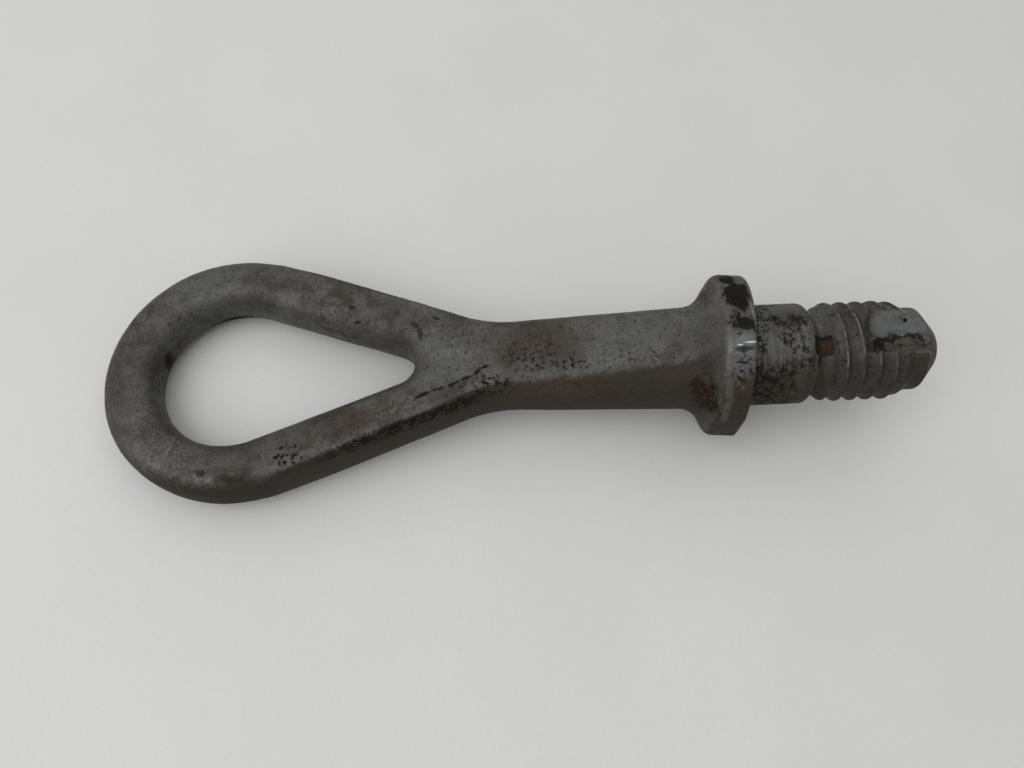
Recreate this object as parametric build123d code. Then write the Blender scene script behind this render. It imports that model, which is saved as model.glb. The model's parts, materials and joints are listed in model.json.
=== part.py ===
from build123d import *
from math import asin, atan2, ceil, cos, degrees, hypot, radians, sin, sqrt, tan
import os

# Screw-in tow eye: one steel drop forging with a turned and threaded end.
# It is drawn with the screw axis on X, the collar's seat at X = 0 and the forging's parting plane on XY.
# At the end it is laid on its collar and on the far end of its eye, as it comes to rest.
# Lengths are in millimetres and angles in degrees.

# Eye: a round end of even bar width that runs into two straight legs
eye_reach = 101.0             # seat of the collar to the centre of the eye
eye_inner_radius = 15.1
eye_bar_width = 10.5
leg_half_angle = 20.0
hole_end_radius = 4.3         # round at the narrow end of the hole

# Thickness and rounds of the forging
eye_half_height = 5.0         # at the far end of the eye
shank_half_height = 7.4       # at the collar
eye_edge_round = 4.0          # worn soft round the far end
leg_edge_round = 2.4
edge_fade_angle = 10.0        # how fast the soft edge runs out along the legs
edge_fade_end = 73.0          # seat of the collar to where none of it is left
edge_clearance = 0.02         # keeps the faces of the soft end off those of the forging
hole_edge_round = 3.8
hole_draft_angle = 7.0

# Shank
waist_half_width = 8.9
waist_distance = 46.0         # seat of the collar to the narrowest place
shank_half_width = 10.6       # where it runs into the collar
waist_blend_radius = 30.0

# Collar
collar_radius = 16.2
collar_rim_width = 5.4
collar_back_angle = 30.0      # slope of the back face from square
collar_back_round = 1.6
collar_seat_round = 0.5
collar_neck_radius = 5.0      # fillet from the shank to the back face
collar_lean_angle = 4.9       # how far the forged collar stands off square, seen from above
trimmed_flat_depth = 0.6      # taken off each side of the collar where the flash was trimmed

# Guide and relief groove
guide_radius = 10.15
guide_length = 12.6
guide_end_round = 1.4
relief_radius = 8.25
relief_slope_length = 1.7
relief_length = 0.7

# Rolled round thread, 20 x 1/8 in, right hand, worn shallow
thread_radius = 10.0
thread_pitch = 3.175
thread_depth = 0.75
thread_crest_width = 0.32
thread_flank_angle = 45.0     # from the axis
thread_length = 13.0          # full crests, between the lead-in and the runout
lead_in_length = 2.0
runout_length = 3.0
first_crest_offset = 0.76     # end of the lead-in to the first crest, on the +Y side
cutter_margin = 0.1           # how far the cutter stands out of the thread

# Pilot, cone and nose
pilot_radius = 8.3
pilot_length = 2.4
cone_length = 3.6
nose_radius = 4.3
nose_length = 0.9
nose_round = 1.5

# Flute milled along the thread, which lets dirt out of the nut
flute_length = 18.1           # from the tip
flute_runout_radius = 5.5     # where the cutter left the work
flute_wall_offset = 3.6       # axis sideways to the foot of its wall
flute_floor_height = 5.9      # axis up to the foot of its wall
flute_floor_angle = 15.0      # sideways slope of its floor

# Places that follow from the driving dimensions
eye_outer_radius = eye_inner_radius + eye_bar_width
far_end = -eye_reach - eye_outer_radius
leg_slope = tan(radians(leg_half_angle))
relief_start = guide_length + relief_slope_length
lead_in_start = relief_start + relief_length
crest_start = lead_in_start + lead_in_length
crest_end = crest_start + thread_length
pilot_start = crest_end + runout_length
pilot_end = pilot_start + pilot_length
cone_end = pilot_end + cone_length
tip = cone_end + nose_length


def leg_start(radius):
    """Point where the upper leg leaves a round end of this radius."""
    return (-eye_reach + radius * sin(radians(leg_half_angle)), radius * cos(radians(leg_half_angle)))


def half_outline():
    """One half of the forging's outline in the parting plane, closed along the axis."""
    leg_x, leg_y = leg_start(eye_outer_radius)
    shank_end = (-collar_rim_width / 2, shank_half_width)
    shank_slope = (shank_half_width - waist_half_width) / (waist_distance + shank_end[0])
    # the leg's line and the shank's line meet here, before the blend
    leg_height = leg_y + leg_slope * leg_x
    shank_height = waist_half_width + shank_slope * waist_distance
    corner_x = (leg_height - shank_height) / (shank_slope + leg_slope)
    corner = (corner_x, leg_y - leg_slope * (corner_x - leg_x))
    start_angle = 90 - leg_half_angle
    far_round = CenterArc((-eye_reach, 0), eye_outer_radius, start_angle, 180 - start_angle)
    side = FilletPolyline((leg_x, leg_y), corner, shank_end, radius=waist_blend_radius)
    back = Polyline(shank_end, (shank_end[0], 0), (far_end, 0))
    return make_face([far_round, side, back])


def hole_outline():
    """Teardrop hole, its sides parallel to the legs."""
    open_angle = 90 - leg_half_angle
    end_x = -eye_reach + (eye_inner_radius - hole_end_radius) / sin(radians(leg_half_angle))
    far_round = CenterArc((-eye_reach, 0), eye_inner_radius, open_angle, 360 - 2 * open_angle)
    near_round = CenterArc((end_x, 0), hole_end_radius, -open_angle, 2 * open_angle)
    side = Line(far_round @ 0, near_round @ 1)
    return make_face([far_round, near_round, side, mirror(side, Plane.XZ)])


def forged_body():
    """Eye, legs and shank: the outline turned about the axis, cut flat above and below, with rounded edges.

    The turned sides give the legs their draft and the shank its round section with two flats.
    """
    body = revolve(half_outline(), Axis.X) & between_flats(0)
    body = fillet(flat_face_edges(body, outer=True), leg_edge_round) & soft_end()

    hole_half = extrude(hole_outline(), amount=2 * shank_half_height, taper=-hole_draft_angle)
    body -= hole_half + mirror(hole_half, Plane.XY)
    return fillet(flat_face_edges(body, outer=False), hole_edge_round)


def between_flats(clearance):
    """The room between the forging's lower and upper flats, which open out towards the collar."""
    slope = (shank_half_height - eye_half_height) / -far_end
    start = far_end - eye_bar_width
    start_height = eye_half_height - slope * eye_bar_width + clearance
    end_height = shank_half_height + clearance
    thickness = Polygon(
        (start, start_height),
        (0, end_height),
        (0, -end_height),
        (start, -start_height),
        align=None,
    )
    return extrude(Plane.XZ * thickness, amount=2 * eye_outer_radius, both=True)


def soft_end():
    """The room that the soft edges leave round the far end, and all the room behind their fade."""
    radius = eye_outer_radius + edge_clearance
    open_angle = leg_half_angle - edge_fade_angle
    far_round = CenterArc((-eye_reach, 0), radius, 90 - open_angle, 90 + open_angle)
    leg_x, leg_y = far_round.start_point().X, far_round.start_point().Y
    end_y = leg_y - (-edge_fade_end - leg_x) * tan(radians(open_angle))
    side = Polyline((leg_x, leg_y), (-edge_fade_end, end_y), (-edge_fade_end, 0), (-eye_reach - radius, 0))
    end = revolve(make_face([far_round, side]), Axis.X) & between_flats(edge_clearance)
    end = fillet(flat_face_edges(end, outer=True), eye_edge_round)
    behind = Box(eye_reach, 4 * eye_outer_radius, 4 * eye_outer_radius)
    return end + Pos(eye_reach / 2 - edge_fade_end - leg_edge_round, 0, 0) * behind


def flat_face_edges(body, outer):
    """Edges of the lower and upper flats: the outline without the line across its end, or the hole's rim."""
    flats = body.faces().filter_by(GeomType.PLANE).sort_by(Axis.Z)
    edges = []
    for face in (flats[0], flats[-1]):
        if outer:
            outline = face.outer_wire().edges()
            edges += [edge for edge in outline if edge.bounding_box().size.X > edge_clearance]
        else:
            edges += [edge for wire in face.inner_wires() for edge in wire.edges()]
    return edges


def forged_collar():
    """Collar with a sloped back, leaning a little, with a flat on each side where the flash was trimmed."""
    core_radius = shank_half_height / 2
    back_reach = (collar_radius - core_radius) * tan(radians(collar_back_angle))
    back = -collar_rim_width - back_reach
    profile = Polygon(
        (0, 0),
        (0, collar_radius),
        (-collar_rim_width, collar_radius),
        (back, core_radius),
        (back, 0),
        align=None,
    )
    rim_corners = profile.vertices().group_by(Axis.Y)[-1].sort_by(Axis.X)
    profile = fillet(rim_corners[0], collar_back_round)
    rim_corners = profile.vertices().group_by(Axis.Y)[-1].sort_by(Axis.X)
    profile = fillet(rim_corners[-1], collar_seat_round)
    flat_distance = collar_radius - trimmed_flat_depth
    trimmed = Box(4 * collar_radius, 2 * flat_distance, 4 * collar_radius)
    return Rot(0, 0, -collar_lean_angle) * (revolve(profile, Axis.X) & trimmed)


def turned_end():
    """Guide, relief groove, thread, pilot and cone, drawn along Z from inside the collar to the tip."""
    inside_collar = -collar_rim_width / 2
    profile = Polygon(
        (0, inside_collar),
        (guide_radius, inside_collar),
        (guide_radius, guide_length),
        (relief_radius, relief_start),
        (relief_radius, lead_in_start),
        (thread_radius, crest_start),
        (thread_radius, crest_end),
        (pilot_radius, pilot_start),
        (pilot_radius, pilot_end),
        (nose_radius, cone_end),
        (0, tip),
        align=None,
    )
    guide_corner = profile.vertices().sort_by_distance((guide_radius, guide_length))[0]
    profile = fillet(guide_corner, guide_end_round)
    nose_corner = profile.vertices().sort_by_distance((nose_radius, cone_end))[0]
    profile = fillet(nose_corner, nose_round)
    threaded = revolve(Plane.YZ * profile, Axis.Z)

    # the groove is cut a turn at a time, from three quarters of a turn before the first crest
    groove_start = crest_start + first_crest_offset - 0.75 * thread_pitch
    turn = groove_turn()
    for number in range(ceil((pilot_start - groove_start) / thread_pitch)):
        threaded -= Pos(0, 0, groove_start + number * thread_pitch) * turn
    return threaded


def groove_turn():
    """One turn of the groove between the thread's narrow crests, swept along the helix.

    The root is one broad round that runs out into the flanks.
    """
    flank = radians(thread_flank_angle)
    root = thread_radius - thread_depth
    crest_half = (thread_pitch - thread_crest_width) / 2
    root_round = (crest_half * sin(flank) - thread_depth * cos(flank)) / (1 - cos(flank))
    foot = (root + root_round * (1 - cos(flank)), root_round * sin(flank))
    top = (thread_radius + cutter_margin, crest_half + cutter_margin / tan(flank))

    bottom = ThreePointArc((foot[0], -foot[1]), (root, 0), foot)
    side = Line(foot, top)
    lid = Line(top, (top[0], -top[1]))
    groove = make_face([bottom, side, lid, mirror(side, Plane.XZ)])
    path = Helix(pitch=thread_pitch, height=thread_pitch, radius=root)
    return sweep(Plane.XZ * groove, path=path, is_frenet=True)


def flute():
    """Pocket along the top of the thread and out through the tip: a sloped floor with a wall on one side.

    Its inner end runs out in a round.
    """
    past_tip = flute_length + cone_length
    lid_height = flute_runout_radius + thread_radius
    runout = CenterArc((flute_runout_radius, flute_runout_radius), flute_runout_radius, 180, 90)
    rest = Polyline(runout @ 1, (past_tip, 0), (past_tip, lid_height), (0, lid_height), runout @ 0)
    cutter = extrude(Plane.XZ * make_face([runout, rest]), amount=-2 * thread_radius)
    place = Pos(tip - flute_length, -flute_wall_offset, flute_floor_height)
    return place * Rot(flute_floor_angle, 0, 0) * cutter


def rest_tilt():
    """Turn about Y that brings the collar's back edge and the far edge of the eye down to one level."""
    far_level = eye_half_height - eye_edge_round
    far_x = -eye_reach - sqrt((eye_outer_radius - eye_edge_round) ** 2 - far_level ** 2)
    rim_x = -collar_rim_width + collar_back_round * tan(radians((90 - collar_back_angle) / 2))
    rim_level = collar_radius - collar_back_round
    span = rim_x - far_x
    drop = far_level - rim_level
    return degrees(atan2(drop, span) + asin((eye_edge_round - collar_back_round) / hypot(span, drop)))


def tow_eye():
    """The whole part, laid at rest with the middle of its underside at the origin."""
    body = forged_body()
    disc = forged_collar()
    joined = body + disc
    joined = fillet(new_edges(body, disc, combined=joined), collar_neck_radius)
    whole = joined + Rot(0, 90, 0) * turned_end() - flute()
    laid = Rot(0, rest_tilt(), 0) * whole
    box = laid.bounding_box()
    return Pos(-box.center().X, -box.center().Y, -box.min.Z) * laid


os.makedirs("parts", exist_ok=True)
part = tow_eye()
export_step(part, "parts/tow_eye.step")
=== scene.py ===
import json
import math
from collections import namedtuple

import bpy
import numpy as np
from mathutils import Euler, Matrix, Vector, noise
from mathutils.bvhtree import BVHTree
from mathutils.interpolate import poly_3d_calc


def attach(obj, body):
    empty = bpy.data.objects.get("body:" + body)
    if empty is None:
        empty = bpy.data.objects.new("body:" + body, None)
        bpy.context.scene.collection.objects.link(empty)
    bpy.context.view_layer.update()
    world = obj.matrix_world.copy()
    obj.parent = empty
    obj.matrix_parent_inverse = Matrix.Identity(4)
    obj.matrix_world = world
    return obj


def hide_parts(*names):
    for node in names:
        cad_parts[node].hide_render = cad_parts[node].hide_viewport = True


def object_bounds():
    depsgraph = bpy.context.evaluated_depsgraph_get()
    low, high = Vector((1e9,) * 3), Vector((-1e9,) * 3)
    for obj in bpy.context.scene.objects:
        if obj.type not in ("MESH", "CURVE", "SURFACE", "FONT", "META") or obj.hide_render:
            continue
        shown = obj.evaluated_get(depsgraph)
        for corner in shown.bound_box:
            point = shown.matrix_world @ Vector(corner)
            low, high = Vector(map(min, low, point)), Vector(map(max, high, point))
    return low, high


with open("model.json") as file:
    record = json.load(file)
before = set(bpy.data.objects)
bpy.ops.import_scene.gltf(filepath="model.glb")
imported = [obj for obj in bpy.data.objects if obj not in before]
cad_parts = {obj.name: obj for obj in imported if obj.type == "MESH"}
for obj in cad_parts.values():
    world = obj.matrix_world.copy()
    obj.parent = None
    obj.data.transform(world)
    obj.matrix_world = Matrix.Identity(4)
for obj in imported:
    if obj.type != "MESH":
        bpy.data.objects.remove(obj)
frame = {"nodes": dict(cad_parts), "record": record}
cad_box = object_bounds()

# The worn steel surface of a screw-in tow eye, on a pale floor under soft light.
# Places on the part are in millimetres in its drawing frame: X along the screw axis from the collar's seat
# towards the tip, Y across the eye and Z out of its upper face.
# A fade is a pair of values: its share is nought at the first and whole at the second.

# Units, and how far one step of a seed moves the noise
mm = 0.001
seed_offset = Vector((17.3, 5.1, 9.7))
seed_step = 7.31

# Sizes repeated from the solid
eye_reach = 101.0
leg_edge_round = 2.4
leg_half_angle = math.radians(20.0)
leg_line_offset = 8.92        # the legs' outer lines from the middle of the seat
collar_lean = math.radians(4.9)
thread_radius = 10.0

# Fine mesh
voxel_size = 0.46
turned_stretch = 1.8          # finer steps along the thread
weld_distance = 0.001
phong_share = 0.75            # how far the flat facets are rounded to the solid's curve
smooth_rounds = 4
smooth_steps = (0.5, -0.52)   # inwards, then back out
turned_smoothing = 0.25       # the thread is evened out less
turned_smoothing_fade = (-10, -2)

# Forged surface, heights in millimetres
seat_fade = (-1.0, 0.5)       # from the forged to the turned part
upper_face_fade = (3, 5)
crisp_round = 1.0             # edge round left along the legs
crisp_least_width = 9.0       # keeps the angles of the edge within bounds
crisp_most_height = 0.95      # share of that width
crisp_most_turn = 1.4         # radians
crisp_outward_fade = (-0.05, 0.15)
crisp_start_fade = (-92, -84)
crisp_end_fade = (-44, -54)
swell_height = 0.07           # slow unevenness of the forging
swell_length = 9.0
grain_height = 0.02
grain_length = 1.4
turned_grain_share = 0.3
lap_depth = 0.30              # crease where the forging folded
lap_width = 0.40
lap_wander = 0.35
lap_wander_length = 1.1
lap_line = [
    (-64.5, -8.8), (-61.0, -7.4), (-58.2, -6.6), (-55.6, -5.5), (-53.0, -4.6), (-51.6, -3.2), (-50.0, -2.6),
]

# Rusted strip along the foot of the flute's wall, and the pit above it
flute_floor_fade = (4, 5)
flute_radius_fade = (8.9, 8.4)
strip_depth = 0.22
strip_edge = 0.4
strip_edge_fade = (0, 0.35)
strip_start_fade = (24.5, 26.0)
strip_run_in = 29.5           # where the strip reaches its full width
strip_run_in_slope = 0.45
strip_tip = 33.0              # where it narrows again
strip_tip_fall = 0.10
strip_tip_power = 1.5
strip_ragged = 0.5
strip_ragged_length = 1.3
strip_uneven = 0.5
strip_uneven_length = 0.8
pit_place = (32.1, 2.7)
pit_radius = 0.45
pit_depth = 0.40

# Finishes: linear colour, roughness, metal share
Finish = namedtuple("Finish", "colour roughness metal")
pale_scale = Finish((0.092, 0.092, 0.084), 0.46, 0.30)
olive_scale = Finish((0.056, 0.053, 0.045), 0.52, 0.25)
# Brown film, also laid as painted shade on the lower flanks
brown_film_and_shade = Finish((0.033, 0.024, 0.016), 0.66, 0.03)
# Dark grain, also laid as painted shade on the thread's far flanks and the ring's lower outer flank
dark_grain_and_shade = Finish((0.019, 0.017, 0.014), 0.70, 0.00)
# Pale flecks of wear, also laid as a painted highlight along the collar's back ridge
worn_fleck_and_highlight = Finish((0.132, 0.131, 0.122), 0.42, 0.40)
# Black dirt, also laid as painted shade in the hole and round the flute's rusted strip
dirt_black_and_shade = Finish((0.008, 0.007, 0.006), 0.80, 0.00)
rust_brown = Finish((0.060, 0.043, 0.033), 0.80, 0.00)
rust_dark = Finish((0.021, 0.012, 0.009), 0.85, 0.00)
rust_bright = Finish((0.044, 0.026, 0.016), 0.85, 0.00)
flute_rust = Finish((0.078, 0.064, 0.053), 0.75, 0.05)
worn_steel = Finish((0.132, 0.139, 0.143), 0.38, 0.80)
# Bare steel, also laid as a painted highlight on the thread's crests and the seat's lip
bare_steel_and_highlight = Finish((0.220, 0.229, 0.233), 0.36, 0.85)
fresh_nick = Finish((0.546, 0.554, 0.563), 0.35, 0.90)
flute_steel = Finish((0.106, 0.112, 0.110), 0.44, 0.45)
thread_film = Finish((0.035, 0.033, 0.027), 0.58, 0.15)
sheen_roughness = (0.45, 0.80)
sheen_level = (0.32, 0.05)    # shine left on the smoothest and the roughest finish

# Noise of the steel: length of its humps in millimetres, detail, roughness, seed and stretch along the axes
Noise = namedtuple("Noise", "length detail roughness seed stretch", defaults=(None,))
noises = {
    "clouds": Noise(8.0, 4.0, 0.60, 1),
    "blotches": Noise(2.6, 5.0, 0.65, 2),
    "specks": Noise(0.85, 4.0, 0.65, 3),
    "flecks": Noise(0.60, 3.0, 0.60, 4),
    "fine": Noise(0.25, 2.0, 0.50, 5),
    "edges": Noise(1.8, 6.0, 0.70, 6),
    "rings": Noise(1.0, 3.0, 0.60, 7, (0.5, 6.0, 6.0)),
    "pits": Noise(0.95, 5.0, 0.75, 8),
    "clusters": Noise(4.0, 2.0, 0.50, 9),
    "streaks": Noise(1.0, 3.0, 0.60, 10, (4.0, 0.6, 0.6)),
}
edge_noise_gain = 3.0
bump_height = 0.12
bump_strength = 0.6
bump_specks = 0.9
bump_fine = 0.35
bump_blotches = -0.5
bump_blotch_fade = (0.45, 0.75)

# Marks on the steel: ellipsoids with a ragged and soft edge, turned about Z in degrees
Mark = namedtuple("Mark", "centre radii ragged soft turn", defaults=(0.5, 0.9, 0.0))
Line = namedtuple("Line", "points width height ragged")
line_soft = 0.6
line_depth = 2.0
square_reach = 8.0            # long radius of the two ellipsoids that cross in a square mark

# Marks on the forged part
forging_marks = {
    "brown": [
        Mark((-101, -24, 3.5), (18, 5, 5), soft=0.8),
        Mark((-119, 11, 5), (4, 9, 4), ragged=0.6, turn=-20),
        Mark((-80, 13.5, 6), (24, 5, 5), turn=-20),
        Mark((-76, -12.5, 6), (18, 5, 5), turn=20),
        Mark((-6, 9, 8), (6, 7, 8)),
        Mark((-4, -13, 9), (6, 5, 8)),
        Mark((-82, 8, 2), (16, 3, 5), turn=-20),
    ],
    "pitted": [
        Mark((-88.2, -19.2, 5.7), (4.8, 3.2, 4), soft=0.6),
        Mark((-50, -6.8, 6), (8, 3.0, 4), ragged=0.7, soft=0.8),
        Mark((-42, -1.5, 6.7), (8, 6, 4), ragged=0.6),
        Mark((-34, -3.2, 7), (7, 1.8, 3), ragged=0.8),
    ],
    "speckled": [Mark((-22, -2.6, 7.2), (18, 3.2, 4), ragged=1.0, turn=4)],
    "worn": [
        Mark((-113, -17.2, 5.2), (9, 5, 4), turn=40),
        Mark((-103, -22.8, 4.6), (9, 1.8, 3)),
        Mark((-68, -10.5, 6), (9, 2.6, 4), turn=20),
        Mark((-23, -2.4, 7), (17, 2.8, 4), ragged=0.6, turn=4),
        Mark((-56, 0, 6.4), (6, 4, 4), ragged=0.6),
    ],
    "pale": [Mark((-24, 4.5, 7), (22, 7.5, 5)), Mark((-58, 0.5, 6.3), (9, 7, 4))],
    "rusty": [
        Mark((-41, 2.0, 7), (14, 9.0, 6)),
        Mark((-74, -12.5, 6), (14, 3.5, 5), ragged=0.6, turn=20),
        Mark((-56, -7, 6), (7, 1.8, 4), ragged=0.7, turn=25),
        Mark((-37, -8, 5), (13, 3.4, 5), ragged=0.6),
        Mark((-99, -22, 5), (9, 2.5, 4), ragged=0.7),
    ],
    "ring_rust": [
        Mark((-104.2, -21.6, 5.4), (1.2, 0.9, 2), ragged=0.6, soft=0.6),
        Mark((-98.5, -23, 4.8), (5, 1.4, 2), ragged=0.8),
    ],
    "neck_rust": [Mark((-8.9, -10.6, 5.6), (3.0, 4.6, 4.5), ragged=0.9, soft=0.5, turn=25)],
    "dots": [
        Mark((-76.1, 8.8, 5.1), (1.0, 0.35, 2), ragged=0.7, soft=0.5),
        Mark((-77.2, 11.9, 5.9), (1.0, 0.4, 2), ragged=0.8, soft=0.6, turn=-20),
        Mark((-60.1, 8.3, 6.3), (1.2, 0.4, 2), ragged=0.8, soft=0.5, turn=-30),
        Mark((-58.9, 6.5, 6.3), (0.7, 0.25, 2), ragged=0.6, soft=0.5),
    ],
    # Black on the hole's inner wall at its left end and low along its upper side: painted shade
    "hole": [
        Mark((-115.6, 5.0, -0.3), (1.4, 3.0, 2.6), soft=0.7),
        Mark((-103.7, 15.2, -2.6), (7, 1.4, 1.6), ragged=0.4, soft=0.8, turn=8),
    ],
}
# Where the ring's lower outer flank is darkened further: painted shade
ring_foot = Mark((-101, -25, 0), (20, 4, 7), ragged=0.4, soft=0.8)
fork_corner = Line([(-65, 7.6), (-63.6, 6.4), (-63.1, 3.8)], width=0.7, height=6.2, ragged=0.8)
lap_dirt = Line(lap_line, width=0.46, height=6.4, ragged=0.75)

# Brown film and painted shade on the lower flank, by the way that the surface faces, and on the shank below
# a slanting line
film_shade_ragged = 0.12
film_shade_facing_fade = (-0.25, -0.80)
film_shade_side_fade = (2.0, -2.0)
shank_film_shade_line = 3.4         # below the axis at the seat
shank_film_shade_slope = 0.07
shank_film_shade_ragged = 0.9
shank_film_shade_fade = (0.7, -0.9)
shank_film_shade_start_fade = (-54, -46)
shank_film_shade_end_fade = (-5, -10)

# Dirt along the lower leg's edge, by the gap from the leg's outer line
edge_dirt_ragged = 0.8
edge_dirt_outer_fade = (-0.1, -0.7)
edge_dirt_inner_fade = (-1.8, -1.2)
edge_dirt_start_fade = (-88, -76)
edge_dirt_end_fade = (-50, -54)
edge_dirt_height_fade = (2.5, 4.0)
edge_dirt_side_fade = (-4, -7)

# Marks on the collar's rim
rim_marks = {
    "bare": [Mark((-2.4, -6.4, 14.6), (4.4, 7.6, 6), ragged=0.6, soft=0.7)],
    "speckled": [Mark((-3.0, -8.5, 13.6), (3.4, 6.5, 5), ragged=0.7, soft=0.8)],
    "stain_edge": [Mark((-2.5, 4.5, 15), (3.9, 9.0, 7), ragged=0.8, soft=0.7)],
    "stain": [
        Mark((-2.3, 5.6, 15.0), (3.3, 4.4, 4), ragged=0.9, soft=0.3),
        Mark((-2.8, 10.2, 12.6), (1.6, 3.4, 4), ragged=1.3, soft=0.4),
        Mark((-2.4, -1.0, 16), (2.9, 2.0, 3), ragged=1.1, soft=0.3),
    ],
    "nick_dirt": [Mark((-2.6, -5.7, 15), (2.4, 0.6, 2), ragged=0.9, soft=0.5)],
    "nicks": [
        Mark((-1.4, -4.6, 15.4), (1.7, 0.26, 2), ragged=0.4, soft=0.6),
        Mark((-3.6, -5.0, 15.3), (0.7, 0.2, 2), ragged=0.4, soft=0.6),
    ],
}
# Bare steel along the seat's lip: wear, and a painted highlight
seat_lip = Mark((-0.6, -2.5, 16), (4, 8, 6), ragged=0.4, soft=0.5)
rim_radius_fade = (14.9, 15.6)
seat_lip_fade = (-0.75, -0.35)
# Pale line along the collar's back ridge, between cone and rim: a painted highlight
back_lip_radius_fade = (15.2, 15.8)
back_lip_start_fade = (-6.6, -5.8)
back_lip_end_fade = (-4.4, -5.2)

# Marks on the turned end
guide_pits = [
    Mark((2.2, 1.0, 10), (2.0, 6.0, 6), soft=0.6),
    Mark((5.5, 2.6, 9.6), (2.6, 2.2, 3), ragged=0.7, soft=0.7),
    Mark((6.5, -7.0, 7), (4.5, 2.2, 4), ragged=0.7, soft=0.7),
]
guide_pit_clusters = 0.9
guide_cluster_fade = (0.44, 0.56)
guide_smear = Mark((9.2, 2.4, 9.6), (1.3, 3.0, 3), ragged=0.6, soft=0.7)
groove_dirt = Mark((14.4, -2.6, 8.4), (2.2, 2.1, 4), ragged=0.15, soft=0.2)
groove_rust = Mark((14.8, -2.9, 8.4), (1.8, 1.7, 4), ragged=0.25, soft=0.4)
groove_spot = Mark((13.8, -5.3, 7.1), (0.5, 1.1, 1.5), ragged=0.7, soft=0.4)
flute_face = Mark((30.5, 2.4, 7.2), (8.0, 4.2, 1.8), ragged=0.25, soft=0.3)
# Black rim round the rusted strip at the foot of the flute's wall: dirt, with painted shade along the
# strip's step
flute_foot = Mark((30.8, -2.4, 6.4), (5.9, 2.6, 1.8), soft=0.15, ragged=0.9)
flute_foot_middle = Mark((31.8, -2.8, 6.4), (5.3, 2.2, 1.8), soft=0.3, ragged=0.9)
flute_pit = Mark((*pit_place, 7.0), (0.65, 0.6, 1.5), ragged=0.3, soft=0.5)
turned_fade = (-0.4, 0.2)
guide_end_fade = (13.6, 12.8)
# Brown film and painted shade on the turned end's lower side, by the way that the surface faces
turned_film_shade_ragged = 0.15
turned_film_shade_facing_fade = (-0.45, -0.85)
thread_start_fade = (15.5, 17.0)
thread_end_fade = (33.0, 32.0)
# The thread's flanks that face the tip are darkened: painted shade
shaded_flank_facing_fade = (0.30, 0.62)
# Bare steel on the thread's crests: wear, and a painted highlight
crest_radius_fade = (thread_radius - 0.10, thread_radius - 0.01)
crest_facing_fade = (-0.95, -0.5)
flute_inside_fade = (9.5, 9.1)
flute_face_height_fade = (4.0, 5.0)
flute_lip_low_fade = (-4.4, -3.8)
flute_lip_high_fade = (-3.2, -3.6)
flute_lip_start_fade = (28.0, 30.0)
flute_lip_radius_fade = (6.6, 7.2)

# Layers of the coat, lowest first: each covers its area, or the whole surface, by the fade of its noise
Layer = namedtuple("Layer", "area finish strength noise fade", defaults=(None, None))
whole_surface = None
forging_layers = [
    Layer(whole_surface, pale_scale, 1.00, "clouds", (0.38, 0.60)),
    Layer(whole_surface, worn_fleck_and_highlight, 0.35, "flecks", (0.55, 0.68)),
    Layer(whole_surface, brown_film_and_shade, 0.36, "blotches", (0.44, 0.64)),
    Layer("brown", brown_film_and_shade, 0.70, "blotches", (0.34, 0.58)),
    # Brown film and painted shade on the lower flank and the shank's lower side
    Layer("film_and_shade", brown_film_and_shade, 0.93),
    # Darker still on the ring's lower outer flank: painted shade
    Layer("ring_foot", dark_grain_and_shade, 0.40),
    Layer("pale", pale_scale, 0.90, "blotches", (0.68, 0.48)),
    Layer("pale", worn_fleck_and_highlight, 0.28, "flecks", (0.42, 0.62)),
    Layer("rusty", rust_brown, 0.82, "flecks", (0.26, 0.52)),
    Layer("worn", worn_fleck_and_highlight, 0.55, "flecks", (0.42, 0.58)),
    Layer(whole_surface, dark_grain_and_shade, 0.60, "specks", (0.54, 0.66)),
    Layer(whole_surface, dark_grain_and_shade, 0.45, "fine", (0.42, 0.66)),
    Layer("pitted", dirt_black_and_shade, 0.88, "specks", (0.50, 0.56)),
    Layer("speckled", dirt_black_and_shade, 0.50, "specks", (0.56, 0.64)),
    Layer("ring_rust", rust_dark, 0.75),
    Layer("neck_rust", rust_dark, 0.95, "specks", (0.36, 0.50)),
    Layer("neck_rust", dirt_black_and_shade, 0.85, "flecks", (0.54, 0.60)),
    Layer("fork_corner", rust_dark, 0.60),
    Layer("dots", dirt_black_and_shade, 0.75),
    Layer("leg_edge", dirt_black_and_shade, 0.88, "specks", (0.38, 0.54)),
    Layer("lap", dirt_black_and_shade, 0.92),
    # Painted shade, black on the hole's inner wall
    Layer("hole", dirt_black_and_shade, 0.85),
]
collar_layers = [
    # Painted highlight along the collar's back ridge
    Layer("back_lip", worn_fleck_and_highlight, 0.35, "blotches", (0.36, 0.56)),
    Layer("bare", worn_steel, 0.90, "blotches", (0.68, 0.48)),
    Layer("speckled", dirt_black_and_shade, 0.90, "specks", (0.52, 0.57)),
    Layer("stain_edge", dirt_black_and_shade, 0.90, "specks", (0.49, 0.55)),
    Layer("stain", dirt_black_and_shade, 0.93),
    Layer("stain", rust_dark, 0.80, "specks", (0.52, 0.64)),
    # Bare steel along the seat's lip: wear, and a painted highlight
    Layer("seat_lip", bare_steel_and_highlight, 0.80, "blotches", (0.38, 0.52)),
    Layer("nick_dirt", dirt_black_and_shade, 0.75),
    Layer("nicks", fresh_nick, 0.85),
]
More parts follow.
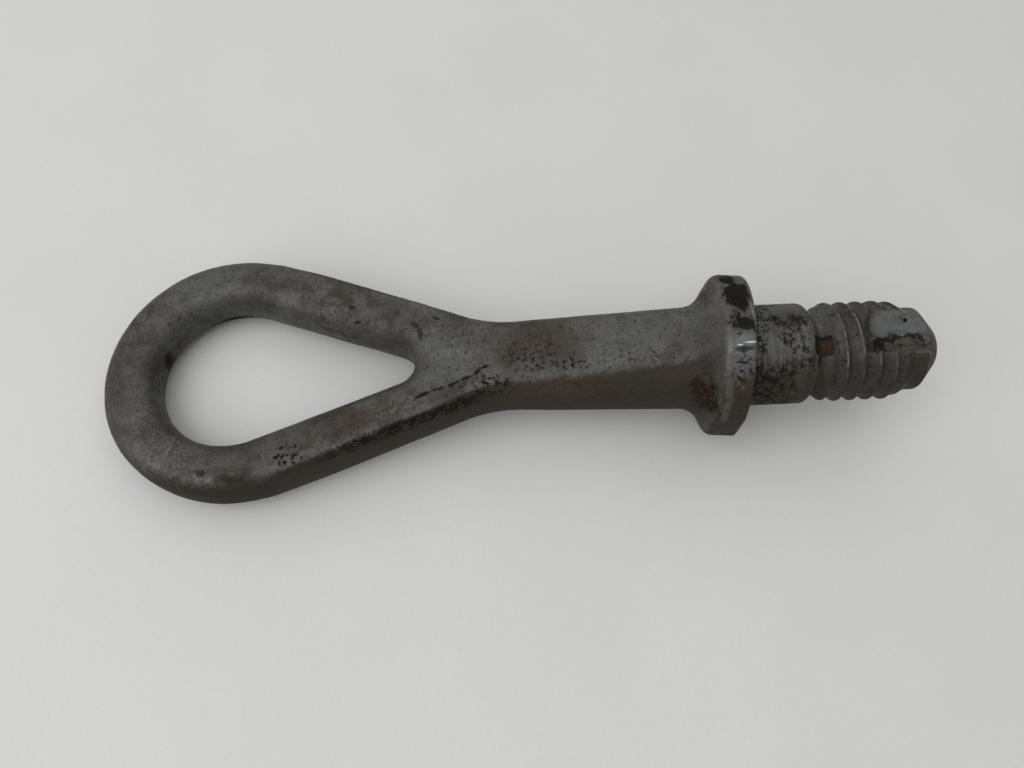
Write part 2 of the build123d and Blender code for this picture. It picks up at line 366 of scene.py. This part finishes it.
turned_layers = [
    Layer("guide", pale_scale, 0.65, "rings", (0.42, 0.60)),
    Layer("guide", worn_fleck_and_highlight, 0.35, "rings", (0.56, 0.68)),
    # Brown film and painted shade low on the turned end
    Layer("film_and_shade", brown_film_and_shade, 0.85),
    Layer("guide_smear", brown_film_and_shade, 0.75),
    Layer("guide_pits", dirt_black_and_shade, 0.90, "pits", (0.47, 0.53)),
    Layer("guide", dirt_black_and_shade, 0.85, "pits", (0.59, 0.63)),
    Layer("thread", thread_film, 0.80, "blotches", (0.28, 0.52)),
    Layer("thread", dirt_black_and_shade, 0.65, "pits", (0.54, 0.60)),
    # Painted shade on the thread's flanks that face the tip
    Layer("shaded_far_flank", dark_grain_and_shade, 0.70, "blotches", (0.36, 0.54)),
    # Bare steel on the thread's crests: wear, and a painted highlight
    Layer("crest", bare_steel_and_highlight, 0.45, "blotches", (0.40, 0.56)),
    Layer("groove_dirt", dirt_black_and_shade, 0.92),
    Layer("groove_rust", rust_bright, 0.80),
    Layer("groove_rust", rust_dark, 0.75, "flecks", (0.48, 0.60)),
    Layer("groove_spot", dirt_black_and_shade, 0.90),
    Layer("flute_face", flute_steel, 0.92),
    Layer("flute_face", olive_scale, 0.60, "blotches", (0.50, 0.62)),
    Layer("flute_face", dirt_black_and_shade, 0.80, "pits", (0.59, 0.64)),
    # Black rim of dirt and painted shade round the rusted strip
    Layer("flute_foot", dirt_black_and_shade, 0.90),
    Layer("flute_foot_middle", flute_rust, 0.92),
    Layer("flute_foot_middle", rust_dark, 0.45, "streaks", (0.50, 0.60)),
    Layer("flute_foot", dirt_black_and_shade, 0.75, "pits", (0.52, 0.60)),
    Layer("flute_lip", bare_steel_and_highlight, 0.65, "blotches", (0.34, 0.50)),
    Layer("flute_pit", dirt_black_and_shade, 1.00),
]

# Floor, in metres
floor_half_size = 3.0
floor_colour = (0.62, 0.62, 0.612)
floor_roughness = 0.75
floor_clouds = Noise(30 * mm, 2.0, 0.5, 1)
floor_cloud_fade = (0.3, 0.7)
floor_cloud_shade = 0.97
floor_fibres = Noise(0.6 * mm, 3.0, 0.6, 2)
floor_fibre_fade = (0.35, 0.75)
floor_fibre_share = 0.3
floor_fibre_shade = 0.88

# Light, in metres and watts
Lamp = namedtuple("Lamp", "name place size power")
lamps = [Lamp("ceiling", (-0.10, 0.25, 1.00), 1.5, 4.6), Lamp("window", (-0.55, -0.35, 0.75), 0.9, 5.2)]
room_level = 0.43

# Camera, from the photograph
camera_place = (-0.01738, -0.06920, 0.15841)
camera_turn = (24.176, -4.811, -2.532)
camera_clip_start = 0.005
focal_px = 800.0
image_width_px = 1024
sensor_width = 36.0

scene = bpy.context.scene

# Drawing frame
mounts = {mount["name"]: mount for mount in frame["record"]["mounts"]}
axis = Vector(mounts["guide"]["axis"]).normalized()
up = Vector(mounts["eye"]["axis"]).normalized()
across = up.cross(axis)
seat = Vector(mounts["eye"]["pos_m"]) + axis * eye_reach * mm
drawing = Matrix((axis, across, up)).transposed()


def to_drawing(points):
    """Points of the row frame, in metres, as millimetres in the drawing frame."""
    return (points - np.array(seat)) @ np.array(drawing) / mm


def from_drawing(points):
    """The other way round."""
    return points @ np.array(drawing).T * mm + np.array(seat)


# Fine mesh of the solid
def coordinates(mesh):
    points = np.empty(len(mesh.vertices) * 3)
    mesh.vertices.foreach_get("co", points)
    return points.reshape(-1, 3)


def set_coordinates(mesh, points):
    mesh.vertices.foreach_set("co", points.ravel())
    mesh.update()


def vertex_normals(mesh):
    normals = np.empty(len(mesh.vertices) * 3)
    mesh.vertex_normals.foreach_get("vector", normals)
    return normals.reshape(-1, 3)


def stretched(points, factor):
    """Drawing-frame points with the turned end drawn out along the axis."""
    longer = points.copy()
    longer[:, 0] = np.where(points[:, 0] > 0, points[:, 0] * factor, points[:, 0])
    return longer


def voxel_copy(node):
    """A fine even mesh of a CAD node, closer along the turned end, and its points in the drawing frame."""
    rough = node.copy()
    rough.data = node.data.copy()
    rough.matrix_world = Matrix.Identity(4)
    scene.collection.objects.link(rough)
    set_coordinates(rough.data, stretched(to_drawing(coordinates(node.data)), turned_stretch))
    weld = rough.modifiers.new("weld", "WELD")
    weld.merge_threshold = weld_distance
    remesh = rough.modifiers.new("remesh", "REMESH")
    remesh.mode = "VOXEL"
    remesh.voxel_size = voxel_size
    mesh = bpy.data.meshes.new_from_object(rough.evaluated_get(bpy.context.evaluated_depsgraph_get()))
    bpy.data.objects.remove(rough)
    return mesh, stretched(coordinates(mesh), 1 / turned_stretch)


def onto_smooth_surface(points, mesh):
    """Moves points to the curved surface that a triangle mesh and its normals stand for."""
    corners = [vertex.co.copy() for vertex in mesh.vertices]
    mesh.calc_loop_triangles()
    triangles = [tuple(triangle.vertices) for triangle in mesh.loop_triangles]
    normals = [
        [mesh.corner_normals[loop].vector.copy() for loop in triangle.loops]
        for triangle in mesh.loop_triangles
    ]
    tree = BVHTree.FromPolygons(corners, triangles)
    moved = []
    for point in points:
        place, _, index, _ = tree.find_nearest(Vector(point))
        triangle = [corners[corner] for corner in triangles[index]]
        weights = poly_3d_calc(triangle, place)
        curved = Vector((0, 0, 0))
        for weight, corner, normal in zip(weights, triangle, normals[index]):
            curved += weight * (place - normal * normal.dot(place - corner))
        moved.append(place.lerp(curved, phong_share))
    return np.array(moved)


def neighbour_mean(values, mesh):
    """Mean of each vertex's neighbours, column by column."""
    edges = np.empty(len(mesh.edges) * 2, dtype=int)
    mesh.edges.foreach_get("vertices", edges)
    first, second = edges.reshape(-1, 2).T
    size = len(values)
    count = np.bincount(np.concatenate([first, second]), minlength=size)
    columns = [
        np.bincount(first, column[second], size) + np.bincount(second, column[first], size)
        for column in values.T
    ]
    return np.column_stack(columns) / count[:, None]


def smooth(points, mesh, rounds, weight):
    """Evens a mesh out without shrinking it, by as much at each point as its weight."""
    for _ in range(rounds):
        for step in smooth_steps:
            points = points + step * weight[:, None] * (neighbour_mean(points, mesh) - points)
    return points


def ramp(value, fade):
    """Smooth share of a fade."""
    share = np.clip((value - fade[0]) / (fade[1] - fade[0]), 0, 1)
    return share * share * (3 - 2 * share)


def bumps(points, length, seed, octaves=2):
    """Seeded noise of about unit height with humps of this length."""
    offset = seed * seed_offset
    return np.array([noise.fractal(Vector(point) / length + offset, 1.0, 2.0, octaves) for point in points])


def crisp_edge_height(points, normals):
    """How far the legs' rounded outer edges stand out to become edges of the crisp round."""
    x, y, z = points.T
    leg_width = (np.abs(x) * math.sin(leg_half_angle) - leg_line_offset) / math.cos(leg_half_angle)
    half_width = np.maximum(leg_width, crisp_least_width)
    side = np.arcsin(np.clip(np.abs(z) / half_width, 0, crisp_most_height))
    turn = math.pi / 2 - side
    lean = np.arcsin(np.clip(np.abs(normals[:, 2]), 0, 1)) - (side + math.pi / 2) / 2
    centre = (leg_edge_round - crisp_round) / np.cos(turn / 2)
    to_faces = leg_edge_round / np.cos(np.clip(turn / 2 - np.abs(lean), 0, crisp_most_turn))
    inside = np.clip(crisp_round ** 2 - (centre * np.sin(lean)) ** 2, 0, None)
    to_round = centre * np.cos(lean) + np.sqrt(inside)
    return np.clip(np.minimum(to_faces, to_round) - leg_edge_round, 0, None)


def line_distance(points, line):
    """Distance in plan from a line of points."""
    nearest = np.full(len(points), np.inf)
    for start, end in zip(line[:-1], line[1:]):
        start, run = np.array(start), np.array(end) - np.array(start)
        share = np.clip((points[:, :2] - start) @ run / (run @ run), 0, 1)
        gap = points[:, :2] - start - share[:, None] * run
        nearest = np.minimum(nearest, np.hypot(gap[:, 0], gap[:, 1]))
    return nearest


def forged_surface(points, normals):
    """Heights of what the plain solid leaves out of the forged and the worn surface."""
    x, y, z = points.T
    forged = 1 - ramp(x + y * math.tan(collar_lean), seat_fade)
    outside = ramp(normals[:, 1] * np.sign(y), crisp_outward_fade)
    legs = ramp(x, crisp_start_fade) * ramp(x, crisp_end_fade)
    edge = crisp_edge_height(points, normals) * outside * legs
    swell = swell_height * bumps(points, swell_length, 1)
    grain = grain_height * bumps(points, grain_length, 2, 3)
    lap_gap = line_distance(points, lap_line) + lap_wander * bumps(points, lap_wander_length, 3)
    lap = -lap_depth * np.exp(-(lap_gap / lap_width) ** 2) * ramp(z, upper_face_fade)
    turned = turned_grain_share * grain + flute_wear(points)
    return forged * (edge + swell + grain + lap) + (1 - forged) * turned


def flute_wear(points):
    """Heights of the rusted strip on the flute's floor and of a pit above it."""
    x, y, z = points.T
    tip_fall = strip_tip_fall * np.clip(x - strip_tip, 0, None) ** strip_tip_power
    run_in_fall = strip_run_in_slope * np.clip(strip_run_in - x, 0, None)
    upper = strip_edge - tip_fall - run_in_fall + strip_ragged * bumps(points, strip_ragged_length, 4)
    on_floor = ramp(z, flute_floor_fade)
    strip = ramp(upper - y, strip_edge_fade) * ramp(x, strip_start_fade) * on_floor
    strip *= ramp(np.hypot(y, z), flute_radius_fade)
    uneven = 1 + strip_uneven * bumps(points, strip_uneven_length, 5)
    pit = np.exp(-((x - pit_place[0]) ** 2 + (y - pit_place[1]) ** 2) / pit_radius ** 2) * on_floor
    return -strip_depth * strip * uneven - pit_depth * pit


def worn_piece(node):
    """The visible surface of the part."""
    mesh, points = voxel_copy(node)
    points = to_drawing(onto_smooth_surface(from_drawing(points), node.data))
    softness = 1 - (1 - turned_smoothing) * ramp(points[:, 0], turned_smoothing_fade)
    points = smooth(points, mesh, smooth_rounds, softness)
    set_coordinates(mesh, points)
    normals = vertex_normals(mesh)
    points += normals * forged_surface(points, normals)[:, None]
    placed = np.clip(from_drawing(points), *np.array(cad_box))
    set_coordinates(mesh, placed)
    mesh.shade_smooth()
    made = bpy.data.objects.new("worn_surface", mesh)
    scene.collection.objects.link(made)
    return made


piece = worn_piece(frame["nodes"]["tow_eye"])
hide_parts("tow_eye")
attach(piece, "root")


# Materials
class Paint:
    """A material's nodes, made with short calls that give back sockets."""

    def __init__(self, name):
        self.material = bpy.data.materials.new(name)
        self.material.use_nodes = True
        self.tree = self.material.node_tree
        self.shader = self.tree.nodes["Principled BSDF"]

    def feed(self, socket, value):
        if isinstance(value, bpy.types.NodeSocket):
            self.tree.links.new(value, socket)
        elif socket.type == "RGBA" and len(value) == 3:
            socket.default_value = (*value, 1)
        else:
            socket.default_value = value

    def node(self, kind, inputs, **settings):
        made = self.tree.nodes.new("ShaderNode" + kind)
        for name, value in settings.items():
            setattr(made, name, value)
        for key, value in inputs.items():
            self.feed(made.inputs[key], value)
        return made

    def place_in(self, centre, turn, scale, vector):
        """A vector in a frame of this centre, turn and scale."""
        inputs = {"Vector": vector, "Location": centre, "Rotation": turn, "Scale": scale}
        return self.node("Mapping", inputs, vector_type="TEXTURE").outputs[0]

    def math(self, operation, first, second=0.0, third=0.0):
        return self.node("Math", {0: first, 1: second, 2: third}, operation=operation).outputs[0]

    def add(self, base, value, factor):
        """Base with a value times a factor added to it."""
        return self.math("MULTIPLY_ADD", value, factor, base)

    def fade(self, value, fade, levels=(0.0, 1.0)):
        """Smooth share of a fade, or a run from one level to another along it."""
        inputs = {"Value": value, "From Min": fade[0], "From Max": fade[1]}
        inputs.update({"To Min": levels[0], "To Max": levels[1]})
        return self.node("MapRange", inputs, interpolation_type="SMOOTHSTEP").outputs[0]

    def grain(self, vector, pattern):
        """Noise between nought and one."""
        inputs = {"W": pattern.seed * seed_step, "Scale": 1 / pattern.length}
        inputs.update({"Detail": pattern.detail, "Roughness": pattern.roughness})
        if pattern.stretch:
            vector = self.place_in((0, 0, 0), (0, 0, 0), pattern.stretch, vector)
        return self.node("TexNoise", {"Vector": vector, **inputs}, noise_dimensions="4D").outputs[0]

    def mix(self, share, first, second):
        """Mix of two colours."""
        return self.node("Mix", {0: share, 6: first, 7: second}, data_type="RGBA").outputs[2]

    def blend(self, share, first, second):
        """Mix of two numbers."""
        return self.node("Mix", {0: share, 2: first, 3: second}, data_type="FLOAT").outputs[0]

    def both(self, first, second):
        return self.math("MULTIPLY", first, second)

    def either(self, first, second):
        return self.math("MAXIMUM", first, second)

    def within(self, *fades):
        """Share of a place that lies within several fades, each a value and its pair."""
        share = self.fade(*fades[0])
        for value, pair in fades[1:]:
            share = self.both(share, self.fade(value, pair))
        return share


class Coat:
    """Colour, roughness and metal share of a surface, built up layer by layer."""

    def __init__(self, paint, finish):
        self.paint = paint
        self.colour, self.roughness, self.metal = finish

    def lay(self, share, finish):
        self.colour = self.paint.mix(share, self.colour, finish.colour)
        self.roughness = self.paint.blend(share, self.roughness, finish.roughness)
        self.metal = self.paint.blend(share, self.metal, finish.metal)

    def lay_all(self, layers, areas):
        """Lays these layers over the areas that they name."""
        for layer in layers:
            shares = []
            if layer.area is not whole_surface:
                shares.append(areas[layer.area])
            if layer.noise:
                shares.append(self.paint.fade(self.paint.noise[layer.noise], layer.fade))
            share = shares[0]
            for other in shares[1:]:
                share = self.paint.both(share, other)
            self.lay(self.paint.both(share, layer.strength), layer.finish)


class SteelPaint(Paint):
    """Worn steel. Its fields are sockets: places in the drawing frame in millimetres, facing and noise."""

    def __init__(self):
        super().__init__("worn_steel")
        source = self.node("TexCoord", {})
        turn = drawing.to_euler()
        self.place = self.place_in(seat, turn, (mm, mm, mm), source.outputs["Object"])
        facing = self.place_in((0, 0, 0), turn, (1, 1, 1), source.outputs["Normal"])
        self.x, self.y, self.z = self.node("SeparateXYZ", {0: self.place}).outputs
        self.normal_x, self.normal_y, _ = self.node("SeparateXYZ", {0: facing}).outputs
        self.radius = self.math("SQRT", self.add(self.both(self.z, self.z), self.y, self.y))
        self.noise = {name: self.grain(self.place, pattern) for name, pattern in noises.items()}
        self.ragged = self.add(-edge_noise_gain / 2, self.noise["edges"], edge_noise_gain)
        self.turned = self.fade(self.x, turned_fade)
        self.forged = self.math("SUBTRACT", 1.0, self.turned)

    def mark(self, mark):
        """Share of an ellipsoid mark with a ragged edge."""
        turn = (0, 0, math.radians(mark.turn))
        local = self.place_in(mark.centre, turn, mark.radii, self.place)
        reach = self.node("VectorMath", {0: local}, operation="LENGTH").outputs["Value"]
        return self.fade(self.add(reach, self.ragged, mark.ragged), (1.0, 1.0 - mark.soft))

    def marks(self, marks):
        """Share of several marks together."""
        share = self.mark(marks[0])
        for mark in marks[1:]:
            share = self.either(share, self.mark(mark))
        return share

    def square(self, mark):
        """Share of a square mark, where two long ellipsoids cross."""
        along, over, depth = mark.radii
        first = mark._replace(radii=(square_reach, over, depth))
        second = mark._replace(radii=(along, square_reach, depth))
        return self.both(self.mark(first), self.mark(second))

    def line(self, line):
        """Share of a thin line through points in plan, at its height."""
        marks = []
        for (x0, y0), (x1, y1) in zip(line.points[:-1], line.points[1:]):
            middle = ((x0 + x1) / 2, (y0 + y1) / 2, line.height)
            radii = (math.hypot(x1 - x0, y1 - y0) / 2 + line.width, line.width, line_depth)
            turn = math.degrees(math.atan2(y1 - y0, x1 - x0))
            marks.append(Mark(middle, radii, line.ragged, line_soft, turn))
        return self.marks(marks)


def flank_film_and_shade(paint):
    """Share of the brown film and painted shade on the lower flank."""
    facing = paint.add(paint.normal_y, paint.ragged, film_shade_ragged)
    return paint.within((facing, film_shade_facing_fade), (paint.y, film_shade_side_fade))


def shank_film_and_shade(paint):
    """Share of the brown film and painted shade on the lower side of the shank."""
    line = paint.add(paint.math("ADD", paint.y, shank_film_shade_line), paint.x, -shank_film_shade_slope)
    return paint.within(
        (paint.add(line, paint.ragged, shank_film_shade_ragged), shank_film_shade_fade),
        (paint.x, shank_film_shade_start_fade),
        (paint.x, shank_film_shade_end_fade),
    )


def leg_edge_dirt(paint):
    """Share of the dirt along the lower leg's outer edge."""
    line = paint.add(leg_line_offset, paint.x, math.sin(leg_half_angle))
    gap = paint.add(line, paint.y, -math.cos(leg_half_angle))
    gap = paint.add(gap, paint.ragged, edge_dirt_ragged)
    return paint.within(
        (gap, edge_dirt_inner_fade),
        (gap, edge_dirt_outer_fade),
        (paint.x, edge_dirt_start_fade),
        (paint.x, edge_dirt_end_fade),
        (paint.z, edge_dirt_height_fade),
        (paint.y, edge_dirt_side_fade),
    )


def forging_areas(paint):
    """Where the film, rust, wear and dirt of the forged part lie, and the painted shade on its lower flank
    and in the hole.
    """
    flank = flank_film_and_shade(paint)
    areas = {name: paint.marks(marks) for name, marks in forging_marks.items()}
    areas["film_and_shade"] = paint.either(flank, shank_film_and_shade(paint))
    areas["ring_foot"] = paint.both(flank, paint.mark(ring_foot))
    areas["fork_corner"] = paint.line(fork_corner)
    areas["leg_edge"] = leg_edge_dirt(paint)
    areas["lap"] = paint.line(lap_dirt)
    return areas


def collar_areas(paint):
    """Where the collar's rim is stained, worn bare and nicked, with a painted highlight on its worn seat
    lip and along its back ridge.
    """
    rim = paint.both(paint.fade(paint.radius, rim_radius_fade), paint.forged)
    areas = {name: paint.both(rim, paint.marks(marks)) for name, marks in rim_marks.items()}
    seat_gap = paint.add(paint.x, paint.y, math.tan(collar_lean))
    lip = paint.both(rim, paint.fade(seat_gap, seat_lip_fade))
    areas["seat_lip"] = paint.both(lip, paint.mark(seat_lip))
    areas["back_lip"] = paint.within(
        (paint.radius, back_lip_radius_fade),
        (paint.x, back_lip_start_fade),
        (paint.x, back_lip_end_fade),
    )
    return areas


def guide_areas(paint):
    """Where the guide is pitted and smeared, and the brown film and painted shade low on the whole turned
    end.
    """
    guide = paint.both(paint.turned, paint.fade(paint.x, guide_end_fade))
    clusters = paint.both(paint.fade(paint.noise["clusters"], guide_cluster_fade), guide_pit_clusters)
    facing = paint.add(paint.normal_y, paint.ragged, turned_film_shade_ragged)
    return {
        "guide": guide,
        "guide_smear": paint.both(guide, paint.mark(guide_smear)),
        "guide_pits": paint.both(guide, paint.either(clusters, paint.marks(guide_pits))),
        "film_and_shade": paint.both(paint.turned, paint.fade(facing, turned_film_shade_facing_fade)),
    }


def thread_areas(paint):
    """The thread, its worn crests with a painted highlight, the painted shade on its far flanks, and the
    rust in the relief groove before it.
    """
    thread = paint.within((paint.x, thread_start_fade), (paint.x, thread_end_fade))
    crest = paint.within((paint.radius, crest_radius_fade), (paint.normal_y, crest_facing_fade))
    return {
        "thread": thread,
        "shaded_far_flank": paint.both(thread, paint.fade(paint.normal_x, shaded_flank_facing_fade)),
        "crest": paint.both(thread, crest),
        "groove_dirt": paint.square(groove_dirt),
        "groove_rust": paint.square(groove_rust),
        "groove_spot": paint.mark(groove_spot),
    }


def flute_areas(paint):
    """The flute's milled face, rusted foot with its black rim of dirt and painted shade, worn lip and pit.
    """
    inside = paint.fade(paint.radius, flute_inside_fade)
    face = paint.both(paint.mark(flute_face), inside)
    return {
        "flute_face": paint.both(face, paint.fade(paint.z, flute_face_height_fade)),
        "flute_foot": paint.both(paint.mark(flute_foot), inside),
        "flute_foot_middle": paint.both(paint.mark(flute_foot_middle), inside),
        "flute_pit": paint.mark(flute_pit),
        "flute_lip": paint.within(
            (paint.y, flute_lip_low_fade),
            (paint.y, flute_lip_high_fade),
            (paint.x, flute_lip_start_fade),
            (paint.radius, flute_lip_radius_fade),
        ),
    }


def steel_paint():
    """The part's material."""
    paint = SteelPaint()
    coat = Coat(paint, olive_scale)
    coat.lay_all(forging_layers, forging_areas(paint))
    coat.lay_all(collar_layers, collar_areas(paint))
    coat.lay_all(turned_layers, {**guide_areas(paint), **thread_areas(paint), **flute_areas(paint)})

    # The bump takes noise alone: with the layers in it the material grows too large to render
    height = paint.add(paint.both(paint.noise["fine"], bump_fine), paint.noise["specks"], bump_specks)
    height = paint.add(height, paint.fade(paint.noise["blotches"], bump_blotch_fade), bump_blotches)
    bump = paint.node("Bump", {"Height": height, "Strength": bump_strength, "Distance": bump_height * mm})
    sheen = paint.fade(coat.roughness, sheen_roughness, sheen_level)
    paint.feed(paint.shader.inputs["Base Color"], coat.colour)
    paint.feed(paint.shader.inputs["Roughness"], coat.roughness)
    paint.feed(paint.shader.inputs["Metallic"], coat.metal)
    paint.feed(paint.shader.inputs["Specular IOR Level"], sheen)
    paint.feed(paint.shader.inputs["Normal"], bump.outputs[0])
    return paint.material


piece.data.materials.clear()
piece.data.materials.append(steel_paint())


# Floor
def shaded(colour, shade):
    return [shade * part for part in colour]


def floor_paint():
    paint = Paint("floor")
    place = paint.node("TexCoord", {}).outputs["Object"]
    clouds = paint.fade(paint.grain(place, floor_clouds), floor_cloud_fade)
    fibres = paint.fade(paint.grain(place, floor_fibres), floor_fibre_fade, (0.0, floor_fibre_share))
    colour = paint.mix(clouds, floor_colour, shaded(floor_colour, floor_cloud_shade))
    colour = paint.mix(fibres, colour, shaded(floor_colour, floor_fibre_shade))
    paint.feed(paint.shader.inputs["Base Color"], colour)
    paint.feed(paint.shader.inputs["Roughness"], floor_roughness)
    return paint.material


def floor():
    size = floor_half_size
    corners = [(-size, -size, 0), (size, -size, 0), (size, size, 0), (-size, size, 0)]
    mesh = bpy.data.meshes.new("floor")
    mesh.from_pydata(corners, [], [(0, 1, 2, 3)])
    mesh.materials.append(floor_paint())
    ground = bpy.data.objects.new("floor", mesh)
    scene.collection.objects.link(ground)


floor()


# Light
def soft_lamp(lamp):
    """A square lamp aimed at the part."""
    light = bpy.data.lights.new(lamp.name, "AREA")
    light.size = lamp.size
    light.energy = lamp.power
    holder = bpy.data.objects.new(lamp.name, light)
    holder.location = lamp.place
    holder.rotation_euler = (-Vector(lamp.place)).to_track_quat("-Z", "Y").to_euler()
    scene.collection.objects.link(holder)


for lamp in lamps:
    soft_lamp(lamp)
world = bpy.data.worlds.new("room")
world.use_nodes = True
world.node_tree.nodes["Background"].inputs["Color"].default_value = (1, 1, 1, 1)
world.node_tree.nodes["Background"].inputs["Strength"].default_value = room_level
scene.world = world
scene.view_settings.view_transform = "Standard"

# Camera
lens = bpy.data.cameras.new("camera")
lens.sensor_width = sensor_width
lens.lens = focal_px / image_width_px * sensor_width
lens.clip_start = camera_clip_start
camera = bpy.data.objects.new("camera", lens)
camera.location = camera_place
camera.rotation_euler = Euler([math.radians(angle) for angle in camera_turn], "XYZ")
scene.collection.objects.link(camera)
scene.camera = camera
